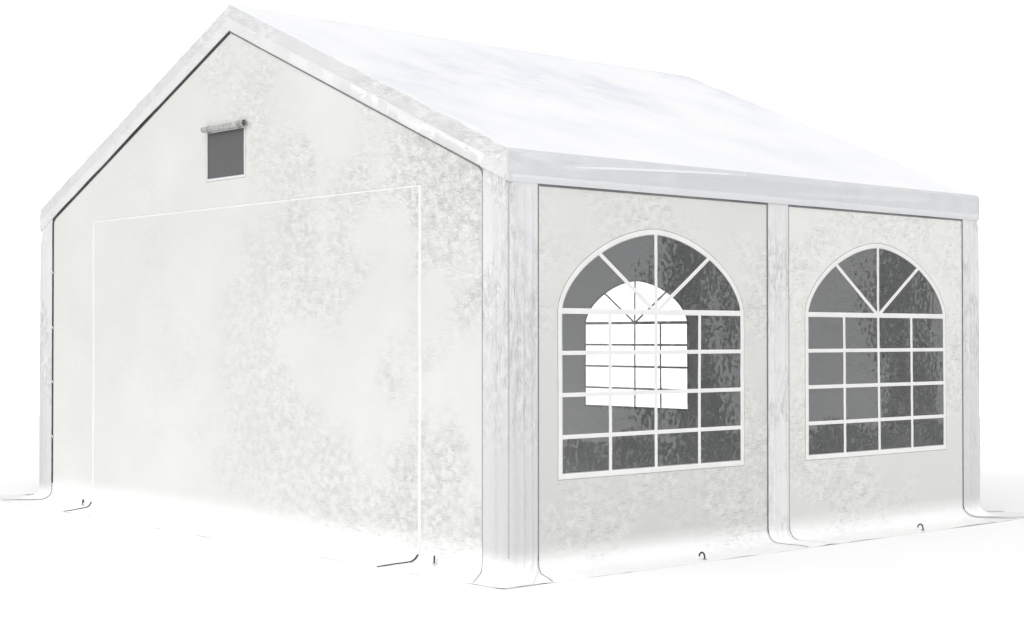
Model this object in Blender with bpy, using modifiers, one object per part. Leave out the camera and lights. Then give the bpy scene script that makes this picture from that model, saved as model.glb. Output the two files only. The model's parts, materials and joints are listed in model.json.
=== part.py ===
"""Marquee tent of two bays: a bolted steel tube frame under a white coated-fabric cover. Metres, +Z up.

X runs across the gables and Y along the ridge. The door gable faces -Y, and left and right are as seen
by someone who stands in front of it. The origin is on the ground, under the middle of the ridge.
"""

from math import atan, cos, pi, radians, sin

import bmesh
import bpy
from mathutils import Matrix, Vector

# Overall sizes, over the outer faces of the roof cover
WIDTH = 5.0
LENGTH = 4.0
EAVE_Z = 2.03
RIDGE_Z = 3.10
VALANCE = 0.157
SKIRT = 0.30

# Fabric and fits
FABRIC = 0.002
SEAT_GAP = 0.0003
ROOF_GAP = 0.0005
LAYER = FABRIC + SEAT_GAP
FOOT_BEND = 0.07

# Steel frame
TUBE_R = 0.019
SLEEVE_R = 0.021
SLEEVE_LENGTH = 0.12
FOOT_SLEEVE = 0.10
FOOT_PLATE = 0.12
FOOT_PLATE_THICKNESS = 0.004
TUBE_SIDES = 16
SLEEVE_STEP = 0.0003

# Post covers and walls
COVER_TOP = 1.99
COVER_LEG = 0.19
MID_COVER = 0.18
WALL_TOP = 2.008
WALL_SPLIT = 0.0005
RAKE_CLEARANCE = 0.004

# Openings: across the wall, then heights
FRONT_BAY_WINDOW = -0.983
BACK_BAY_WINDOW = 0.930
WINDOW_WIDTH = 1.382
WINDOW_BOTTOM = 0.436
WINDOW_SPRING = 1.260
WINDOW_TOP = 1.687
BACK_WINDOW_MIDDLE = -0.558
BACK_WINDOW_WIDTH = 1.155
BACK_WINDOW_BOTTOM = 0.561
BACK_WINDOW_SPRING = 1.241
BACK_WINDOW_TOP = 1.593
WINDOW_BAND = 0.026
ARCH_POWER = 1.7
WINDOW_LAP = 0.015
DOOR_LEFT = -1.705
DOOR_RIGHT = 1.815
DOOR_TOP = 1.90
VENT_MIDDLE = -0.045
VENT_WIDTH = 0.41
VENT_BOTTOM = 2.078
VENT_TOP = 2.357
VENT_ROLL_SHIFT = 0.013
VENT_ROLL_LENGTH = 0.46
VENT_ROLL_R = 0.018
CUT_DEPTH = 0.10

# Worked out from the sizes above
PITCH = atan((RIDGE_Z - EAVE_Z) / (WIDTH / 2))
AXIS_INSET = 2 * LAYER + FABRIC + SEAT_GAP + SLEEVE_R
AXIS_X = WIDTH / 2 - AXIS_INSET
AXIS_Y = LENGTH / 2 - AXIS_INSET
ROOF_OVER_AXIS = SLEEVE_R + ROOF_GAP + FABRIC
RIDGE_AXIS_Z = RIDGE_Z - ROOF_OVER_AXIS / cos(PITCH)
EAVE_AXIS_Z = RIDGE_AXIS_Z - AXIS_X * (RIDGE_Z - EAVE_Z) / (WIDTH / 2)

SIDES = {"left": -1, "right": 1}
FRAMES = {"front": -1, "middle": 0, "back": 1}

FINISHES = {
    "galvanised_steel": ((0.56, 0.57, 0.58), 0.42, 0.9),
    "roof_fabric": ((0.90, 0.91, 0.93), 0.45, 0.0),
    "wall_fabric": ((0.84, 0.84, 0.82), 0.45, 0.0),
    "cover_fabric": ((0.80, 0.80, 0.81), 0.40, 0.0),
    "window_film": ((0.35, 0.36, 0.37), 0.10, 0.0),
    "vent_mesh": ((0.20, 0.20, 0.20), 0.70, 0.0),
}


def new_collection(name):
    made = bpy.data.collections.new(name)
    bpy.context.scene.collection.children.link(made)
    return made


def new_material(name, colour, roughness, metallic):
    made = bpy.data.materials.new(name)
    made.use_nodes = True
    shader = made.node_tree.nodes["Principled BSDF"]
    shader.inputs["Base Color"].default_value = (*colour, 1.0)
    shader.inputs["Roughness"].default_value = roughness
    shader.inputs["Metallic"].default_value = metallic
    return made


for startup_object in list(bpy.data.objects):
    bpy.data.objects.remove(startup_object, do_unlink=True)

TENT = new_collection("marquee_tent")
CUTTERS = new_collection("cutters")
CUTTERS.hide_render = True
MATERIALS = {name: new_material(name, *values) for name, values in FINISHES.items()}
ORIGIN = bpy.data.objects.new("tent_origin", None)
TENT.objects.link(ORIGIN)


def add_piece(name, shape, finish, smooth=False):
    """Makes the bmesh an object of the tent, with its finish."""
    mesh = bpy.data.meshes.new(name)
    shape.to_mesh(mesh)
    shape.free()
    if smooth:
        mesh.shade_smooth()
        mesh.set_sharp_from_angle(angle=radians(35))
    mesh.materials.append(MATERIALS[finish])
    piece = bpy.data.objects.new(name, mesh)
    piece.parent = ORIGIN
    TENT.objects.link(piece)
    return piece


def add_cutter(name, shape):
    mesh = bpy.data.meshes.new(name)
    shape.to_mesh(mesh)
    shape.free()
    tool = bpy.data.objects.new(name, mesh)
    tool.hide_render = True
    tool.display_type = "WIRE"
    CUTTERS.objects.link(tool)
    return tool


def combine(piece, operation, tool):
    step = piece.modifiers.new(operation.lower(), "BOOLEAN")
    step.operation = operation
    step.object = tool


def box(low, high):
    """A box between two opposite corners."""
    low, high = Vector(low), Vector(high)
    shape = bmesh.new()
    size = high - low
    place = Matrix.Translation((low + high) / 2) @ Matrix.Diagonal((*size, 1.0))
    bmesh.ops.create_cube(shape, size=1.0, matrix=place)
    return shape


def rod(start, end, radius):
    """A round bar between two points."""
    start, end = Vector(start), Vector(end)
    turn = (end - start).to_track_quat("Z", "Y").to_matrix().to_4x4()
    shape = bmesh.new()
    bmesh.ops.create_cone(
        shape,
        cap_ends=True,
        segments=TUBE_SIDES,
        radius1=radius,
        radius2=radius,
        depth=(end - start).length,
        matrix=Matrix.Translation((start + end) / 2) @ turn,
    )
    return shape


def add_tube(name, start, end):
    """A frame tube between two sleeves: start and end are the joints' centres."""
    start, end = Vector(start), Vector(end)
    inset = (end - start).normalized() * (SLEEVE_LENGTH + SEAT_GAP)
    add_piece(name, rod(start + inset, end - inset, TUBE_R), "galvanised_steel", smooth=True)


def add_joint(name, centre, back, front, directions):
    """Sleeves welded together: one through the centre along Y, and one in each direction."""
    centre = Vector(centre)
    through = rod(centre + Vector((0, back, 0)), centre + Vector((0, front, 0)), SLEEVE_R)
    joint = add_piece(name, through, "galvanised_steel", smooth=True)
    for number, direction in enumerate(directions, 1):
        end = centre + Vector(direction).normalized() * SLEEVE_LENGTH
        arm = rod(centre, end, SLEEVE_R - number * SLEEVE_STEP)
        combine(joint, "UNION", add_cutter(f"{name}_arm_{number}", arm))


def add_post(name, x, y):
    """A post with the sleeve and plate that it stands on."""
    half = FOOT_PLATE / 2
    plate = box((x - half, y - half, 0), (x + half, y + half, FOOT_PLATE_THICKNESS))
    post = add_piece(name, plate, "galvanised_steel", smooth=True)
    sleeve = rod((x, y, FOOT_PLATE_THICKNESS / 2), (x, y, FOOT_SLEEVE), SLEEVE_R)
    combine(post, "UNION", add_cutter(f"{name}_sleeve", sleeve))
    tube = rod((x, y, FOOT_SLEEVE / 2), (x, y, EAVE_AXIS_Z - SLEEVE_LENGTH - SEAT_GAP), TUBE_R)
    combine(post, "UNION", add_cutter(f"{name}_tube", tube))


def add_frame():
    ridge_arms = [(side, 0, -(RIDGE_AXIS_Z - EAVE_AXIS_Z) / AXIS_X) for side in SIDES.values()]
    for frame_name, frame in FRAMES.items():
        y = frame * AXIS_Y
        back = -SLEEVE_R if frame < 0 else -SLEEVE_LENGTH
        front = SLEEVE_R if frame > 0 else SLEEVE_LENGTH
        ridge = Vector((0, y, RIDGE_AXIS_Z))
        add_joint(f"ridge_joint_{frame_name}", ridge, back, front, ridge_arms)
        for side_name, side in SIDES.items():
            place = f"{frame_name}_{side_name}"
            eave = Vector((side * AXIS_X, y, EAVE_AXIS_Z))
            add_joint(f"eave_joint_{place}", eave, back, front, [(0, 0, -1), ridge - eave])
            add_tube(f"rafter_{place}", eave, ridge)
            add_post(f"post_{place}", side * AXIS_X, y)
    for bay_name, bay in (("front", -1), ("back", 1)):
        far = bay * AXIS_Y
        add_tube(f"ridge_rail_{bay_name}", (0, 0, RIDGE_AXIS_Z), (0, far, RIDGE_AXIS_Z))
        for side_name, side in SIDES.items():
            x = side * AXIS_X
            add_tube(f"eave_rail_{bay_name}_{side_name}", (x, 0, EAVE_AXIS_Z), (x, far, EAVE_AXIS_Z))


def add_grid(shape, rows):
    """Adds a grid whose points are given row by row."""
    across, down = len(rows[0]) - 1, len(rows) - 1
    grid = bmesh.ops.create_grid(shape, x_segments=across, y_segments=down, size=0.5)
    for point in grid["verts"]:
        row = rows[round((point.co.y + 0.5) * down)]
        point.co = row[round((point.co.x + 0.5) * across)]


def add_fabric(name, grids, outward, finish):
    """Fabric through the points of one or more grids, which are its outer face."""
    shape = bmesh.new()
    for rows in grids:
        add_grid(shape, rows)
    bmesh.ops.remove_doubles(shape, verts=shape.verts, dist=1e-5)
    bmesh.ops.recalc_face_normals(shape, faces=shape.faces)
    shape.normal_update()
    widest = max(shape.faces, key=lambda face: face.calc_area())
    if widest.normal.dot(Vector(outward)) < 0:
        bmesh.ops.reverse_faces(shape, faces=shape.faces)
    piece = add_piece(name, shape, finish)
    thickness = piece.modifiers.new("thickness", "SOLIDIFY")
    thickness.thickness = FABRIC
    thickness.offset = -1
    thickness.solidify_mode = "NON_MANIFOLD"
    thickness.nonmanifold_thickness_mode = "CONSTRAINTS"
    return piece


def drop(top, layer):
    """From the top of a wall down to the skirt's edge: (distance out from the tent's side, height).

    The roof cover is layer 0, the post covers are layer 1 and the walls are layer 2.
    """
    bend = FOOT_BEND - (2 - layer) * LAYER
    centre_out = FOOT_BEND - 2 * LAYER
    centre_z = FOOT_BEND + FABRIC
    turns = [radians(angle) for angle in (0, 22.5, 45, 67.5, 90)]
    curve = [(centre_out - bend * cos(turn), centre_z - bend * sin(turn)) for turn in turns]
    return [(centre_out - bend, top), *curve, (SKIRT, centre_z - bend)]


def arch(width, bottom, spring, top, grow):
    """Outline of an arched opening: a box under an arch with flatter shoulders than half an ellipse."""
    half = width / 2 + grow
    rise = top + grow - spring
    steps = 20
    curve = []
    for turn in (pi * i / steps for i in range(steps + 1)):
        across = abs(cos(turn)) ** (2 / ARCH_POWER)
        up = sin(turn) ** (2 / ARCH_POWER) if 0 < turn < pi else 0.0
        curve.append((half * across if turn < pi / 2 else -half * across, spring + rise * up))
    return [(-half, bottom - grow), (half, bottom - grow), *curve]


def slab(outline, thickness):
    """A flat outline with a thickness, in its own X, Y and Z."""
    curve = bpy.data.curves.new("outline", "CURVE")
    curve.dimensions = "2D"
    curve.fill_mode = "BOTH"
    curve.extrude = thickness / 2
    spline = curve.splines.new("POLY")
    spline.points.add(len(outline) - 1)
    for point, (across, up) in zip(spline.points, outline):
        point.co = (across, up, 0, 1)
    spline.use_cyclic_u = True
    guide = bpy.data.objects.new("outline", curve)
    bpy.context.scene.collection.objects.link(guide)
    mesh = bpy.data.meshes.new_from_object(guide.evaluated_get(bpy.context.evaluated_depsgraph_get()))
    shape = bmesh.new()
    shape.from_mesh(mesh)
    bmesh.ops.remove_doubles(shape, verts=shape.verts, dist=1e-6)
    bmesh.ops.recalc_face_normals(shape, faces=shape.faces)
    bpy.data.objects.remove(guide)
    bpy.data.meshes.remove(mesh)
    bpy.data.curves.remove(curve)
    return shape


def stand(shape, middle, outward):
    """Stands a flat shape up in a wall. Its Z turns to face outward, and its Y turns up."""
    outward = Vector(outward)
    up = Vector((0, 0, 1))
    turn = Matrix((up.cross(outward), up, outward)).transposed().to_4x4()
    bmesh.ops.transform(shape, matrix=Matrix.Translation(middle) @ turn, verts=shape.verts)
    return shape


def add_opening(wall, cover_name, outline, cover_outline, middle, outward, finish):
    """Cuts an opening in the wall, and closes it from behind with film or mesh."""
    outward = Vector(outward)
    tool = stand(slab(outline, CUT_DEPTH), middle, outward)
    combine(wall, "DIFFERENCE", add_cutter(f"{cover_name}_opening", tool))
    behind = 2 * LAYER + FABRIC + SEAT_GAP + FABRIC / 2
    cover = stand(slab(cover_outline, FABRIC), Vector(middle) - outward * behind, outward)
    add_piece(cover_name, cover, finish)


def add_side_walls():
    sizes = (WINDOW_WIDTH, WINDOW_BOTTOM, WINDOW_SPRING, WINDOW_TOP)
    opening = arch(*sizes, -WINDOW_BAND)
    film = arch(*sizes, -WINDOW_BAND + WINDOW_LAP)
    for side_name, side in SIDES.items():
        for bay_name, bay, window_y in (("front", -1, FRONT_BAY_WINDOW), ("back", 1, BACK_BAY_WINDOW)):
            profile = drop(WALL_TOP, 2)
            rows = []
            for out, z in profile:
                corner = AXIS_Y - WALL_SPLIT + out - profile[0][0]
                x = side * (WIDTH / 2 + out)
                rows.append([Vector((x, bay * y, z)) for y in (WALL_SPLIT, corner)])
            place = f"{bay_name}_{side_name}"
            wall = add_fabric(f"side_wall_{place}", [rows], (side, 0, 0), "wall_fabric")
            middle = (side * WIDTH / 2, window_y, 0)
            name = f"window_film_{place}"
            add_opening(wall, name, opening, film, middle, (side, 0, 0), "window_film")


def rake_z(x):
    """Height of the roof cover's outer face, before its rounding at ridge and eaves."""
    return RIDGE_Z - abs(x) * (RIDGE_Z - EAVE_Z) / (WIDTH / 2)


def gable_rows(frame):
    profile = drop(WALL_TOP, 2)
    rows = []
    for out, z in profile:
        corner = AXIS_X - WALL_SPLIT + out - profile[0][0]
        y = frame * (LENGTH / 2 + out)
        rows.append([Vector((x, y, z)) for x in (-corner, 0, corner)])
    for point in rows[0]:
        point.z = rake_z(point.x) - (FABRIC + RAKE_CLEARANCE) / cos(PITCH)
    return rows


def door_box(grow):
    low = (DOOR_LEFT - grow, -LENGTH / 2 - 2 * SKIRT, -CUT_DEPTH)
    high = (DOOR_RIGHT + grow, -LENGTH / 2 + SKIRT, DOOR_TOP + grow)
    return box(low, high)


def add_vent(wall, frame_name, frame):
    """A screened vent near the top of a gable, with its flap rolled up over it."""
    across = -frame * VENT_MIDDLE
    outward = (0, frame, 0)
    middle = Vector((across, frame * LENGTH / 2, 0))
    half = VENT_WIDTH / 2
    opening = [(-half, VENT_BOTTOM), (half, VENT_BOTTOM), (half, VENT_TOP), (-half, VENT_TOP)]
    wide, low, high = half + WINDOW_LAP, VENT_BOTTOM - WINDOW_LAP, VENT_TOP + WINDOW_LAP
    screen = [(-wide, low), (wide, low), (wide, high), (-wide, high)]
    add_opening(wall, f"vent_mesh_{frame_name}", opening, screen, middle, outward, "vent_mesh")
    y = frame * (LENGTH / 2 - 2 * LAYER + SEAT_GAP + VENT_ROLL_R)
    z = VENT_TOP + VENT_ROLL_R
    roll = across - frame * VENT_ROLL_SHIFT
    ends = [(roll + end * VENT_ROLL_LENGTH / 2, y, z) for end in (-1, 1)]
    add_piece(f"vent_flap_roll_{frame_name}", rod(*ends, VENT_ROLL_R), "wall_fabric", smooth=True)


def add_gable_walls():
    front = add_fabric("front_wall", [gable_rows(-1)], (0, -1, 0), "wall_fabric")
    combine(front, "DIFFERENCE", add_cutter("door_opening", door_box(SEAT_GAP / 2)))
    door = add_fabric("door_flap", [gable_rows(-1)], (0, -1, 0), "wall_fabric")
    combine(door, "INTERSECT", add_cutter("door_outline", door_box(-SEAT_GAP / 2)))
    add_vent(front, "front", -1)
    back = add_fabric("back_wall", [gable_rows(1)], (0, 1, 0), "wall_fabric")
    sizes = (BACK_WINDOW_WIDTH, BACK_WINDOW_BOTTOM, BACK_WINDOW_SPRING, BACK_WINDOW_TOP)
    opening = arch(*sizes, -WINDOW_BAND)
    film = arch(*sizes, -WINDOW_BAND + WINDOW_LAP)
    middle = (BACK_WINDOW_MIDDLE, LENGTH / 2, 0)
    add_opening(back, "window_film_back", opening, film, middle, (0, 1, 0), "window_film")
    add_vent(back, "back", 1)


def add_corner_cover(name, side, frame):
    """Fabric round a corner post: an L in plan that moves out along the diagonal as it meets the ground."""
    profile = drop(COVER_TOP, 1)
    face = profile[0][0]
    round_r = AXIS_INSET + face
    turns = [radians(angle) for angle in (90, 67.5, 45, 22.5, 0)]
    plan = [(WIDTH / 2 - COVER_LEG, LENGTH / 2 + face)]
    plan += [(AXIS_X + round_r * cos(turn), AXIS_Y + round_r * sin(turn)) for turn in turns]
    plan += [(WIDTH / 2 + face, LENGTH / 2 - COVER_LEG)]
    rows = []
    for out, z in profile:
        shift = out - face
        rows.append([Vector((side * (x + shift), frame * (y + shift), z)) for x, y in plan])
    add_fabric(name, [rows], (side, frame, 0), "cover_fabric")


def add_middle_cover(name, side):
    rows = []
    for out, z in drop(COVER_TOP, 1):
        x = side * (WIDTH / 2 + out)
        rows.append([Vector((x, y, z)) for y in (-MID_COVER / 2, MID_COVER / 2)])
    add_fabric(name, [rows], (side, 0, 0), "cover_fabric")


def add_post_covers():
    for side_name, side in SIDES.items():
        add_middle_cover(f"post_cover_middle_{side_name}", side)
        for frame_name in ("front", "back"):
            name = f"post_cover_{frame_name}_{side_name}"
            add_corner_cover(name, side, FRAMES[frame_name])


def roof_profile():
    """Half of the roof cover's outer face, from the valance's lower edge to the ridge, as (x, z)."""
    eave_r = AXIS_INSET
    eave_centre_z = rake_z(AXIS_X) - eave_r / cos(PITCH)
    normal = pi / 2 - PITCH
    steps = 4
    eave = [normal * i / steps for i in range(steps + 1)]
    ridge = [normal + PITCH * i / 2 for i in range(3)]
    points = [(WIDTH / 2, EAVE_Z - VALANCE)]
    points += [(AXIS_X + eave_r * cos(turn), eave_centre_z + eave_r * sin(turn)) for turn in eave]
    points += [(ROOF_OVER_AXIS * cos(turn), RIDGE_AXIS_Z + ROOF_OVER_AXIS * sin(turn)) for turn in ridge]
    return points


def add_roof_cover():
    """One cover over both slopes, with a valance down each side and along each rake."""
    half = roof_profile()
    profile = half[:-1] + [(0.0, half[-1][1])] + [(-x, z) for x, z in reversed(half[:-1])]
    ends = [-LENGTH / 2, LENGTH / 2]
    grids = [[[Vector((x, y, z)) for x, z in profile] for y in ends]]
    rake = profile[1:-1]
    for y in ends:
        top = [Vector((x, y, z)) for x, z in rake]
        bottom = [Vector((x, y, rake_z(x) - VALANCE)) for x, z in rake]
        grids.append([top, bottom])
    add_fabric("roof_cover", grids, (0, 0, 1), "roof_fabric")


add_frame()
add_side_walls()
add_gable_walls()
add_post_covers()
add_roof_cover()
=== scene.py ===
"""Dresses the marquee tent: hung fabric, window film and bars, zips, edgings, pegs and steel, on its frame."""

import json
from functools import partial
from math import atan, ceil, cos, exp, pi, radians, sin

import bmesh
import bpy
from mathutils import Matrix, Vector, noise

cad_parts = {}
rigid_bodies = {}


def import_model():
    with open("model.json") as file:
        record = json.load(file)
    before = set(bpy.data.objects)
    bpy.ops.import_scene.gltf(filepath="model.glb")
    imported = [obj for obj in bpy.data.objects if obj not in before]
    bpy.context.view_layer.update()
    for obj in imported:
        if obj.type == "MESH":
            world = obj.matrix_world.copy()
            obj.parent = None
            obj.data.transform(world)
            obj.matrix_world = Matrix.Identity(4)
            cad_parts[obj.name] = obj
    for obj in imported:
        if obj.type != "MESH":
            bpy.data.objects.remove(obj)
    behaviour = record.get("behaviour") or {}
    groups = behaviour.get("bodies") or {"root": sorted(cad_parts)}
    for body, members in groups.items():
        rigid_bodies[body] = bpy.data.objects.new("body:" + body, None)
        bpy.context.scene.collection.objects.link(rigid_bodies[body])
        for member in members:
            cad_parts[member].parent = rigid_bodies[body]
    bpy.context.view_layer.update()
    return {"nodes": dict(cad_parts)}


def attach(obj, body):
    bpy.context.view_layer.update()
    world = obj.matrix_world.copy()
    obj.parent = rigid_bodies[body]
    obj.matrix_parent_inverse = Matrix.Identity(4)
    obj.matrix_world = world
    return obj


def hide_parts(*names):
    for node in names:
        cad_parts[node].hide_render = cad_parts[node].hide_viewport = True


for startup_object in list(bpy.data.objects):
    bpy.data.objects.remove(startup_object, do_unlink=True)

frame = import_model()

# The tent's cut, in metres, as its solids have it
HALF_WIDTH = 2.5
HALF_LENGTH = 2.0
EAVE_Z = 2.03
RIDGE_Z = 3.10
SLOPE = (RIDGE_Z - EAVE_Z) / HALF_WIDTH
PITCH = atan(SLOPE)
VALANCE = 0.157
VALANCE_EDGE = EAVE_Z - VALANCE
SKIRT = 0.30
WALL_DEPTH = 0.0046
LAYER = 0.0023
BEND_R = 0.07
BEND_OUT = BEND_R - WALL_DEPTH
BEND_TOP = 0.072
SKIRT_EDGE = BEND_TOP - BEND_R * pi / 2 - (SKIRT - BEND_OUT)
POST_X = 2.4721
POST_Y = 1.9721
RIDGE_AXIS_Z = 3.0744
EAVE_AXIS_Z = 2.0164
SLEEVE_R = 0.021
SLEEVE_LENGTH = 0.12
WALL_GAP = 0.0005
WELD_TALL = 0.0007
FRAME_TALL = 0.0018
WALL_TOP = 2.006
COVER_TOP = 1.985
COVER_LEG = 0.19
MID_COVER = 0.09
FABRIC = 0.0012
RAKE_HEM = 0.066
EAVE_HEM = 0.038
RAKE_GAP = 0.012
HEM_UP = 0.016
HEM_WIDTH = 0.030
GABLE_HEM = 2.45
EDGE_GAP = 0.003
EDGE_TALL = 0.004
BOLT_BACK = 0.03

WINDOW = {"half": 0.691, "bottom": 0.436, "spring": 1.260, "top": 1.687, "bar": 0.021, "header": 0.028}
BAY_WINDOWS = {"front": {**WINDOW, "middle": -0.983}, "back": {**WINDOW, "middle": 0.930}}
WINDOW_PITCH = BAY_WINDOWS["back"]["middle"] - BAY_WINDOWS["front"]["middle"]
# Where the film's painted reflection is darkest, on the side walls' windows
REFLECTION_DARK_MIDDLE = BAY_WINDOWS["back"]["middle"] + 0.29
BACK_WINDOW = {"middle": -0.558, "half": 0.5775, "bottom": 0.561, "spring": 1.241, "top": 1.593,
               "bar": 0.016, "header": 0.022}
ARCH_POWER = 1.7
FRAME_BAND = 0.026
DOOR_LEFT = -1.705
DOOR_RIGHT = 1.815
DOOR_TOP = 1.90
VENT = {"middle": -0.045, "half": 0.205, "bottom": 2.078, "top": 2.357}
FILM_LAP = 0.012
FILM_DEPTH = -0.0018
ROLL_SHIFT = 0.013
ROLL_LENGTH = 0.46
ROLL_TURNS = 2.6
STRAP_SHARES = (0.13, 0.87)
ROLL_R = 0.022
ROLL_OUT = 0.019
PEG_R = 0.0042
LACE_HEIGHTS = (0.44, 0.818, 1.194, 1.577)

# Where each face's sheet hangs: along, outward, and how far out it stands
FACES = {
    "front": (Vector((1, 0, 0)), Vector((0, -1, 0)), HALF_LENGTH, POST_X - WALL_GAP),
    "back": (Vector((1, 0, 0)), Vector((0, 1, 0)), HALF_LENGTH, POST_X - WALL_GAP),
    "right": (Vector((0, 1, 0)), Vector((1, 0, 0)), HALF_WIDTH, POST_Y - WALL_GAP),
    "left": (Vector((0, 1, 0)), Vector((-1, 0, 0)), HALF_WIDTH, POST_Y - WALL_GAP),
}
SEEDS = {"front": 3.7, "back": 11.3, "right": 23.9, "left": 31.1}


def linear(hex_colour):
    """Linear RGBA of an sRGB hex value."""
    parts = [int(hex_colour[start:start + 2], 16) / 255 for start in (1, 3, 5)]
    return [*(c / 12.92 if c <= 0.04045 else ((c + 0.055) / 1.055) ** 2.4 for c in parts), 1.0]


def smooth(low, high, value):
    share = min(1.0, max(0.0, (value - low) / (high - low)))
    return share * share * (3 - 2 * share)


def swirl(across, up, depth, scale):
    """Soft noise from -1 to 1, with features about 1 / scale metres wide."""
    return noise.noise(Vector((across * scale, up * scale, depth)))


# Materials

CRINKLE_MIDDLE = 0.95


def feed(node, inputs):
    """Gives each input its value, or the socket that feeds it."""
    for name, value in inputs.items():
        if isinstance(value, bpy.types.NodeSocket):
            node.id_data.links.new(value, node.inputs[name])
        else:
            node.inputs[name].default_value = value


def add_node(tree, kind, inputs=None, out=0, **settings):
    """Adds a shader node with its settings and links, and gives one of its outputs, or the node for out=None."""
    node = tree.nodes.new("ShaderNode" + kind)
    for name, value in settings.items():
        setattr(node, name, value)
    feed(node, inputs or {})
    return node if out is None else node.outputs[out]


def new_material(name):
    """An empty material, what adds its nodes, its Principled shader, and the place on the piece in metres."""
    made = bpy.data.materials.new(name)
    made.use_nodes = True
    add = partial(add_node, made.node_tree)
    return made, add, made.node_tree.nodes["Principled BSDF"], add("TexCoord", out="Object")


def blotches(add, place, size, low=0.0, high=1.0, start=0.3, end=0.7, detail=3.0, stretch=(1, 1, 1)):
    """Soft noise with patches about size metres wide. Its values from start to end are mapped from low to high."""
    moved = add("Mapping", {"Vector": place, "Scale": stretch})
    soft = add("TexNoise", {"Vector": moved, "Scale": 1 / size, "Detail": detail, "Roughness": 0.55})
    spread = {"Value": soft, "From Min": start, "From Max": end, "To Min": low, "To Max": high}
    return add("MapRange", spread)


def crumple(add, place, size, stretch=(1, 1, 1)):
    """Flat facets that meet in sharp creases, as stiff coated cloth folds: a height from 0 to 1."""
    moved = add("Mapping", {"Vector": place, "Scale": stretch})
    warp = add("TexNoise", {"Vector": moved, "Scale": 0.6 / size, "Detail": 2.0}, out="Color")
    bend = {"Fac": 0.03 + size * 0.5, "Color1": moved, "Color2": warp}
    bent = add("MixRGB", bend, blend_type="LINEAR_LIGHT")
    return add("TexVoronoi", {"Vector": bent, "Scale": 1 / size}, out="Distance")


def squiggles(add, place, size, width, stretch=(1, 1, 1)):
    """Thin wandering lines, where soft noise passes through its middle: 1 on the line, 0 beside it."""
    moved = add("Mapping", {"Vector": place, "Scale": stretch})
    soft = {"Vector": moved, "Scale": 1 / size, "Detail": 1.0, "Distortion": 0.8}
    level = add("TexNoise", soft)
    size_of = add("Math", {0: add("Math", {0: level, 1: 0.5}, operation="SUBTRACT")}, operation="ABSOLUTE")
    spread = {"Value": size_of, "From Max": width, "To Min": 1.0, "To Max": 0.0}
    return add("MapRange", spread, interpolation_type="SMOOTHSTEP")


def coated_cloth(name, light, dark, rough, crease, depth, creased=0.3, shade="#cbcbc7", pale="#f6f6f4",
                 upright=False, patch_size=0.8, calm=None, low=None, foot=0.0):
    """Woven polyethylene tarpaulin with a coat on both sides: a soft sheen, and patches of short creases along its
    tapes, coloured paler and darker by turns: painted highlights and painted shade, with a little real whitening of
    the creased coat. calm gives the axis and the places along it between which the creases grow, low is the tone of
    the painted shade that darkens it towards the ground, and foot is how high the painted light on its skirt reaches."""
    made, add, shader, place = new_material(name)
    axes = add("SeparateXYZ", {0: place}, out=None).outputs
    tone = blotches(add, place, 0.55)
    colour = add("MixRGB", {"Fac": tone, "Color1": linear(light), "Color2": linear(dark)})
    # Painted shade: darkened towards the ground, fully below 0.3 m and not at all above 1.4 m
    if low:
        spread = {"Value": axes["Z"], "From Min": 0.3, "From Max": 1.4, "To Min": 1.0, "To Max": 0.0}
        lower = add("MapRange", spread)
        colour = add("MixRGB", {"Fac": lower, "Color1": colour, "Color2": linear(low)})
    patches = blotches(add, place, patch_size, start=0.42, end=0.60, detail=2.0)
    folded = add("MapRange", {"Value": patches}, interpolation_type="SMOOTHSTEP")
    if calm:
        spread = {"Value": axes[calm[0]], "From Min": calm[1], "From Max": calm[2], "To Min": 0.1, "To Max": 1.0}
        growing = add("MapRange", spread)
        folded = add("Math", {0: folded, 1: growing}, operation="MULTIPLY")
    run, dash = ((1.8, 1.8, 0.7), (5, 5, 0.6)) if upright else ((1.0, 1.0, 1.3), (0.7, 0.7, 5))
    mottle = blotches(add, place, crease, start=0.36, end=0.64, stretch=run)
    dashes = blotches(add, place, crease, start=0.58, end=0.74, detail=0.0, stretch=dash)
    crinkle = add("Math", {0: mottle, 1: dashes}, operation="MAXIMUM")
    # Painted highlights and painted shade: the crinkles are coloured from shade to pale, partly the real whitening of
    # the creased coat
    painted_crinkle_light = {"Fac": crinkle, "Color1": linear(shade), "Color2": linear(pale)}
    painted_crinkle_light = add("MixRGB", painted_crinkle_light)
    share = add("Math", {0: folded, 1: creased}, operation="MULTIPLY")
    colour = add("MixRGB", {"Fac": share, "Color1": colour, "Color2": painted_crinkle_light})
    # Painted light: whitened towards the ground, as the skirt is lit brighter than the walls
    if foot:
        spread = {"Value": axes["Z"], "From Min": 0.01, "From Max": foot, "To Min": 1.0, "To Max": 0.0}
        painted_foot_light = add("MapRange", spread, interpolation_type="SMOOTHSTEP")
        colour = add("MixRGB", {"Fac": painted_foot_light, "Color1": colour, "Color2": linear("#ffffff")})
    facets = crumple(add, place, crease * 1.5, run)
    height = add("Math", {0: facets, 1: crinkle}, operation="ADD")
    about = add("Math", {0: height, 1: CRINKLE_MIDDLE}, operation="SUBTRACT")
    held = add("Math", {0: about, 1: folded}, operation="MULTIPLY")
    folds = add("Bump", {"Height": held, "Distance": depth})
    # The cloth's tapes are 2 mm wide, which is drawn as a 9 mm scrim so that it shows
    rows = add("TexWave", {"Vector": place, "Scale": 35.0, "Distortion": 0.3}, bands_direction="Z")
    scrim = add("Bump", {"Height": rows, "Distance": 0.0003, "Strength": 0.2, "Normal": folds})
    sheen = add("MapRange", {"Value": folded, "To Min": rough + 0.06, "To Max": rough - 0.06})
    feed(shader, {"Base Color": colour, "Roughness": sheen, "Normal": scrim, "IOR": 1.5})
    return made


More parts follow.
